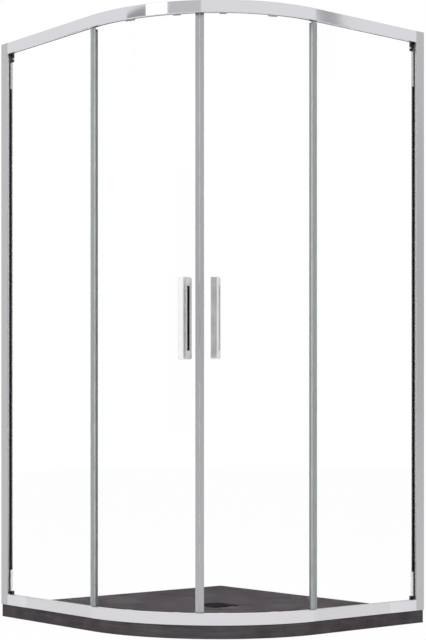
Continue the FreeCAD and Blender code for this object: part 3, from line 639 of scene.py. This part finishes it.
# end face of each fixed pane's edge seal: a pale strip between two dark ones, in from the rail's face;
# the pale strip is a painted highlight down the clear seal and the dark ones are painted shade either
# side of it
sealEnd = {"across": 8 * mm, "proud": 0.3 * mm, "gap": 0.6 * mm, "pale": (8.6 * mm, 13.4 * mm),
           "dark": ((6.6 * mm, 8.2 * mm), (13.8 * mm, 15.4 * mm))}


def paintedSealStrip(inward):
    near, far = sealEnd["across"] - sealEnd["proud"], sealEnd["across"] + sealEnd["proud"]
    return block((near, inward[0] - halfSide, sillHigh.z + sealEnd["gap"]),
                 (far, inward[1] - halfSide, headerLow.z - sealEnd["gap"]))


for side in ("left", "right"):
    node = "pane_edge_seal_" + side
    # thin sheets on the seal's end: a pale painted highlight between dark painted shade
    place(side + "PaintedHighlightStrip", paintedSealStrip(sealEnd["pale"]), [node], side, extra="magnet_grey")
    dark = join([paintedSealStrip(edge) for edge in sealEnd["dark"]])
    place(side + "PaintedShadeStrips", dark, [node], side, extra="carriage_grey")

# pale faces just behind the glass, in front of the lower end blocks: painted light, a matt pale plate
# that makes the lower ends of the silver blocks read as lit
paintedLitFace = {"start": 32 * mm, "end": 50 * mm, "front": 14.3 * mm, "back": 15.8 * mm, "low": 89 * mm,
           "left": 160 * mm, "right": 168 * mm}
for side in ("left", "right"):
    face = block((paintedLitFace["start"] - halfSide, paintedLitFace["front"] - halfSide, paintedLitFace["low"]),
                 (paintedLitFace["end"] - halfSide, paintedLitFace["back"] - halfSide, paintedLitFace[side]))
    place(side + "PaintedLitEndFace", face, ["pane_end_blocks"], side, extra="wheel_nylon")

# strip that closes the empty groove between the two side panes
infill = {"low": -5 * mm, "high": -0.8 * mm, "start": 1, "end": 89, "steps": 50}
strip = rectangle(halfSide - grooveIn, halfSide - grooveOut, sillHigh.z + infill["low"],
                  sillHigh.z + infill["high"])
place("grooveStrip", arcPiece(strip, infill["start"], infill["end"], infill["steps"]), ["groove_infill"])
print("doors ready")


# tray
tray = {"inset": 6 * mm, "margin": 58 * mm, "fall": 8 * mm, "recess": 114 * mm,
        "recessDeep": 5 * mm, "cutTall": 40 * mm, "bore": 45 * mm, "boreSpan": (-10 * mm, 60 * mm),
        "edge": 3 * mm, "steps": 56}


def shavedBy(bm, cutter):
    # cuts one closed mesh out of another
    solids = []
    for name, source in (("traySolid", bm), ("trayCutter", cutter)):
        mesh = bpy.data.meshes.new(name)
        source.to_mesh(mesh)
        source.free()
        solids.append(bpy.data.objects.new(name, mesh))
        bpy.context.scene.collection.objects.link(solids[-1])
    cut = solids[0].modifiers.new("cut", "BOOLEAN")
    cut.operation = "DIFFERENCE"
    cut.solver = "EXACT"
    cut.object = solids[1]
    bpy.context.view_layer.update()
    result = bmesh.new()
    result.from_object(solids[0], bpy.context.evaluated_depsgraph_get())
    for solid in solids:
        bpy.data.meshes.remove(solid.data)
    return result


def showerTray():
    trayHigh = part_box("shower_tray")[1]
    flangeLow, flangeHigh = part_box("waste_flange")
    waste = (flangeLow + flangeHigh) / 2
    reach = trayHigh.x
    bm = bmesh.new()
    start = bm.verts.new((0, -reach, 0))
    bend = bmesh.ops.spin(bm, geom=[start], cent=(0, 0, 0), axis=(0, 0, 1), angle=math.pi / 2,
                          steps=tray["steps"])
    last = [g for g in bend["geom_last"] if isinstance(g, bmesh.types.BMVert)][0]
    corners = ((reach, halfSide, 0), (-halfSide, halfSide, 0), (-halfSide, -reach, 0))
    others = [bm.verts.new(point) for point in corners]
    ring = [last] + others + [start]
    for one, two in zip(ring, ring[1:]):
        bm.edges.new((one, two))
    face = bmesh.ops.edgeloop_fill(bm, edges=bm.edges)["faces"]
    bmesh.ops.recalc_face_normals(bm, faces=bm.faces)
    upper = pushOut(bm, face, (0, 0, trayHigh.z))
    rim = [e for e in bm.edges if all(v.co.z > trayHigh.z - mm for v in e.verts)]
    bmesh.ops.recalc_face_normals(bm, faces=bm.faces)
    bmesh.ops.bevel(bm, geom=rim, offset=tray["edge"], offset_type="OFFSET", segments=4, profile=0.5,
                    affect="EDGES", clamp_overlap=True, material=-1)
    upper = [f for f in bm.faces
             if f.calc_center_median().z > trayHigh.z - 0.01 * mm and f.normal.z > 0.99]
    margin = tray["margin"] - tray["inset"] - tray["edge"]
    bmesh.ops.inset_region(bm, faces=upper, thickness=margin, use_even_offset=True)
    centre = bmesh.ops.poke(bm, faces=upper)["verts"][0]
    centre.co = Vector((waste.x, waste.y, trayHigh.z - tray["fall"]))
    recess = bmesh.new()
    bmesh.ops.create_cube(recess, size=1.0)
    bmesh.ops.scale(recess, vec=(tray["recess"], tray["recess"], tray["cutTall"]), verts=recess.verts)
    height = trayHigh.z - tray["fall"] - tray["recessDeep"] + tray["cutTall"] / 2
    bmesh.ops.translate(recess, vec=(waste.x, waste.y, height), verts=recess.verts)
    bm = shavedBy(bm, recess)
    low, high = tray["boreSpan"]
    section = [(low, 0), (low, tray["bore"]), (high, tray["bore"]), (high, 0)]
    bore = lathe(section, (waste.x, waste.y, 0), (0, 0, 1), turnedSteps["bore"])
    place("slateTray", shavedBy(bm, bore), ["shower_tray"])


showerTray()
print("tray ready")


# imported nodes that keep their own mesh, and the width in mm of their softened edges
edgeWidth = {"frame_post": 0.8, "wall_profile": 0.4, "post_caps": 0.4, "closing_profile": 0.5,
             "pane_gasket": 0.5, "pane_end_blocks": 0.6, "corner_blocks": 0.8, "drain_cover": 0.6,
             "waste_flange": 0.4, "fixed_pane": 0.6, "door_stops": 0.8, "pane_edge_seal": 0.25,
             "trailing_seal": 0.25, "magnet_seal": 0.4}
for name, node in frame["nodes"].items():
    if not node.material_slots:
        node.data.materials.append(None)
    for entry in node.material_slots:
        entry.material = materials[slotOf[name]]
    widths = [width for start, width in edgeWidth.items() if name.startswith(start)]
    if widths:
        weld = node.modifiers.new("weld", "WELD")
        weld.merge_threshold = 0.002 * mm
        bevel = node.modifiers.new("softEdge", "BEVEL")
        bevel.width = widths[0] * mm
        bevel.segments = 2
        bevel.limit_method = "ANGLE"
        bevel.angle_limit = math.radians(sharpFrom["packed"])
        bevel.harden_normals = True
print("packed nodes finished")


# floor, light and camera
studio = {"sky": 0.62, "key": 46, "fill": 26, "top": 34, "floorGlow": 0.965, "floorHalf": 14,
          "floorDrop": 0.5 * mm, "cardDistance": 6.0}


def seenRays(tree):
    # 1 for rays from the camera and for those that left a polished or clear face, 0 for all others
    path = tree.nodes.new("ShaderNodeLightPath")
    seen = path.outputs["Is Camera Ray"]
    for title in ("Is Glossy Ray", "Is Transmission Ray"):
        either = tree.nodes.new("ShaderNodeMath")
        either.operation = "MAXIMUM"
        tree.links.new(seen, either.inputs[0])
        tree.links.new(path.outputs[title], either.inputs[1])
        seen = either.outputs[0]
    return seen


def backdropWhite(name, glow):
    # white to the camera, in reflections and through glass, plain diffuse white for everything else
    material, tree, shader = surface(name, roughness=0.9)
    material.cycles.emission_sampling = "NONE"
    shader.inputs["Base Color"].default_value = (0.88, 0.88, 0.88, 1)
    share = tree.nodes.new("ShaderNodeMath")
    share.operation = "MULTIPLY"
    share.inputs[1].default_value = glow
    tree.links.new(seenRays(tree), share.inputs[0])
    light = tree.nodes.new("ShaderNodeEmission")
    mixed = tree.nodes.new("ShaderNodeMixShader")
    tree.links.new(share.outputs[0], mixed.inputs["Fac"])
    tree.links.new(shader.outputs["BSDF"], mixed.inputs[1])
    tree.links.new(light.outputs["Emission"], mixed.inputs[2])
    tree.links.new(mixed.outputs["Shader"], tree.nodes["Material Output"].inputs["Surface"])
    return material


floorMesh = bmesh.new()
bmesh.ops.create_grid(floorMesh, x_segments=1, y_segments=1, size=studio["floorHalf"])
floorData = bpy.data.meshes.new("floor")
floorMesh.to_mesh(floorData)
floorMesh.free()
floorData.materials.append(backdropWhite("floorWhite", studio["floorGlow"]))
floor = bpy.data.objects.new("floor", floorData)
floor.location.z = -studio["floorDrop"]
bpy.context.scene.collection.objects.link(floor)

world = bpy.data.worlds.new("studio")
world.use_nodes = True
world.cycles.sampling_method = "NONE"
bpy.context.scene.world = world
tree = world.node_tree
level = tree.nodes.new("ShaderNodeMapRange")
level.inputs["To Min"].default_value = studio["sky"]
level.inputs["To Max"].default_value = 1.0
tree.links.new(seenRays(tree), level.inputs["Value"])
tree.nodes["Background"].inputs["Color"].default_value = (1, 1, 1, 1)
tree.links.new(level.outputs["Result"], tree.nodes["Background"].inputs["Strength"])


def softbox(name, origin, target, size, power):
    light = bpy.data.lights.new(name, "AREA")
    light.shape = "RECTANGLE"
    light.size, light.size_y = size
    light.energy = power
    lamp = bpy.data.objects.new(name, light)
    lamp.location = origin
    lamp.rotation_euler = (Vector(target) - Vector(origin)).to_track_quat("-Z", "Y").to_euler()
    lamp.visible_glossy = False
    bpy.context.scene.collection.objects.link(lamp)


softbox("keyLight", (0.6, -3.6, 2.6), (0, 0, 1.0), (2.0, 2.4), studio["key"])
softbox("fillLight", (3.8, 0.4, 2.0), (0, 0, 1.0), (2.0, 2.4), studio["fill"])
softbox("topLight", (0.2, -0.2, 4.2), (0, 0, 0.5), (2.6, 2.6), studio["top"])

# cards for the polished faces, hidden from the camera but not from rays that pass through glass:
# start and end in degrees, foot, height at each end, brightness
cards = [(2.79, 18.59, 2.95, 3.75, 3.75, 1.75),
         (19.3, 42.77, 2.95, 3.75, 3.75, 0.72),
         (-12.6, 2.7, 2.95, 3.32, 3.40, 0.42),
         (131.9, 133.35, 2.93, 3.73, 3.73, 0.5),
         (17, 38, 0.6, 2.3, 2.3, 0.34),
         (138, 176, 0.5, 2.5, 2.5, 0.5),
         (195, 208, 0.85, 1.9, 1.9, 0.6)]
for number, (start, end, low, highStart, highEnd, brightness) in enumerate(cards):
    mesh = bpy.data.meshes.new(f"card{number}")
    bm = bmesh.new()
    foot = [facing(angle) * studio["cardDistance"] for angle in (start, end)]
    heights = (low, low, highEnd, highStart)
    outlineFace(bm, [(*spot.xy, height) for spot, height in zip(foot + foot[::-1], heights)])
    bm.to_mesh(mesh)
    bm.free()
    material = bpy.data.materials.new(f"card{number}")
    material.use_nodes = True
    material.cycles.emission_sampling = "NONE"
    shine = material.node_tree.nodes.new("ShaderNodeEmission")
    shine.inputs["Strength"].default_value = brightness
    output = material.node_tree.nodes["Material Output"]
    material.node_tree.links.new(shine.outputs["Emission"], output.inputs["Surface"])
    mesh.materials.append(material)
    card = bpy.data.objects.new(f"card{number}", mesh)
    card.visible_camera = card.visible_diffuse = card.visible_shadow = False
    bpy.context.scene.collection.objects.link(card)

view = {"place": (4.017, -3.550, 0.657), "along": (-0.7880, 0.6156, 0), "focalPixels": 1601.2,
        "frame": (426, 640), "axisPixel": (112.15, 422.7)}
lens = bpy.data.cameras.new("photoView")
lens.sensor_width = 36
lens.lens = view["focalPixels"] / view["frame"][1] * lens.sensor_width
lens.shift_x = (view["frame"][0] / 2 - view["axisPixel"][0]) / view["frame"][1]
lens.shift_y = (view["axisPixel"][1] - view["frame"][1] / 2) / view["frame"][1]
camera = bpy.data.objects.new("photoView", lens)
camera.location = view["place"]
camera.rotation_euler = Vector(view["along"]).to_track_quat("-Z", "Y").to_euler()
bpy.context.scene.collection.objects.link(camera)
bpy.context.scene.camera = camera
bpy.context.scene.view_settings.view_transform = "Standard"
print("studio ready")
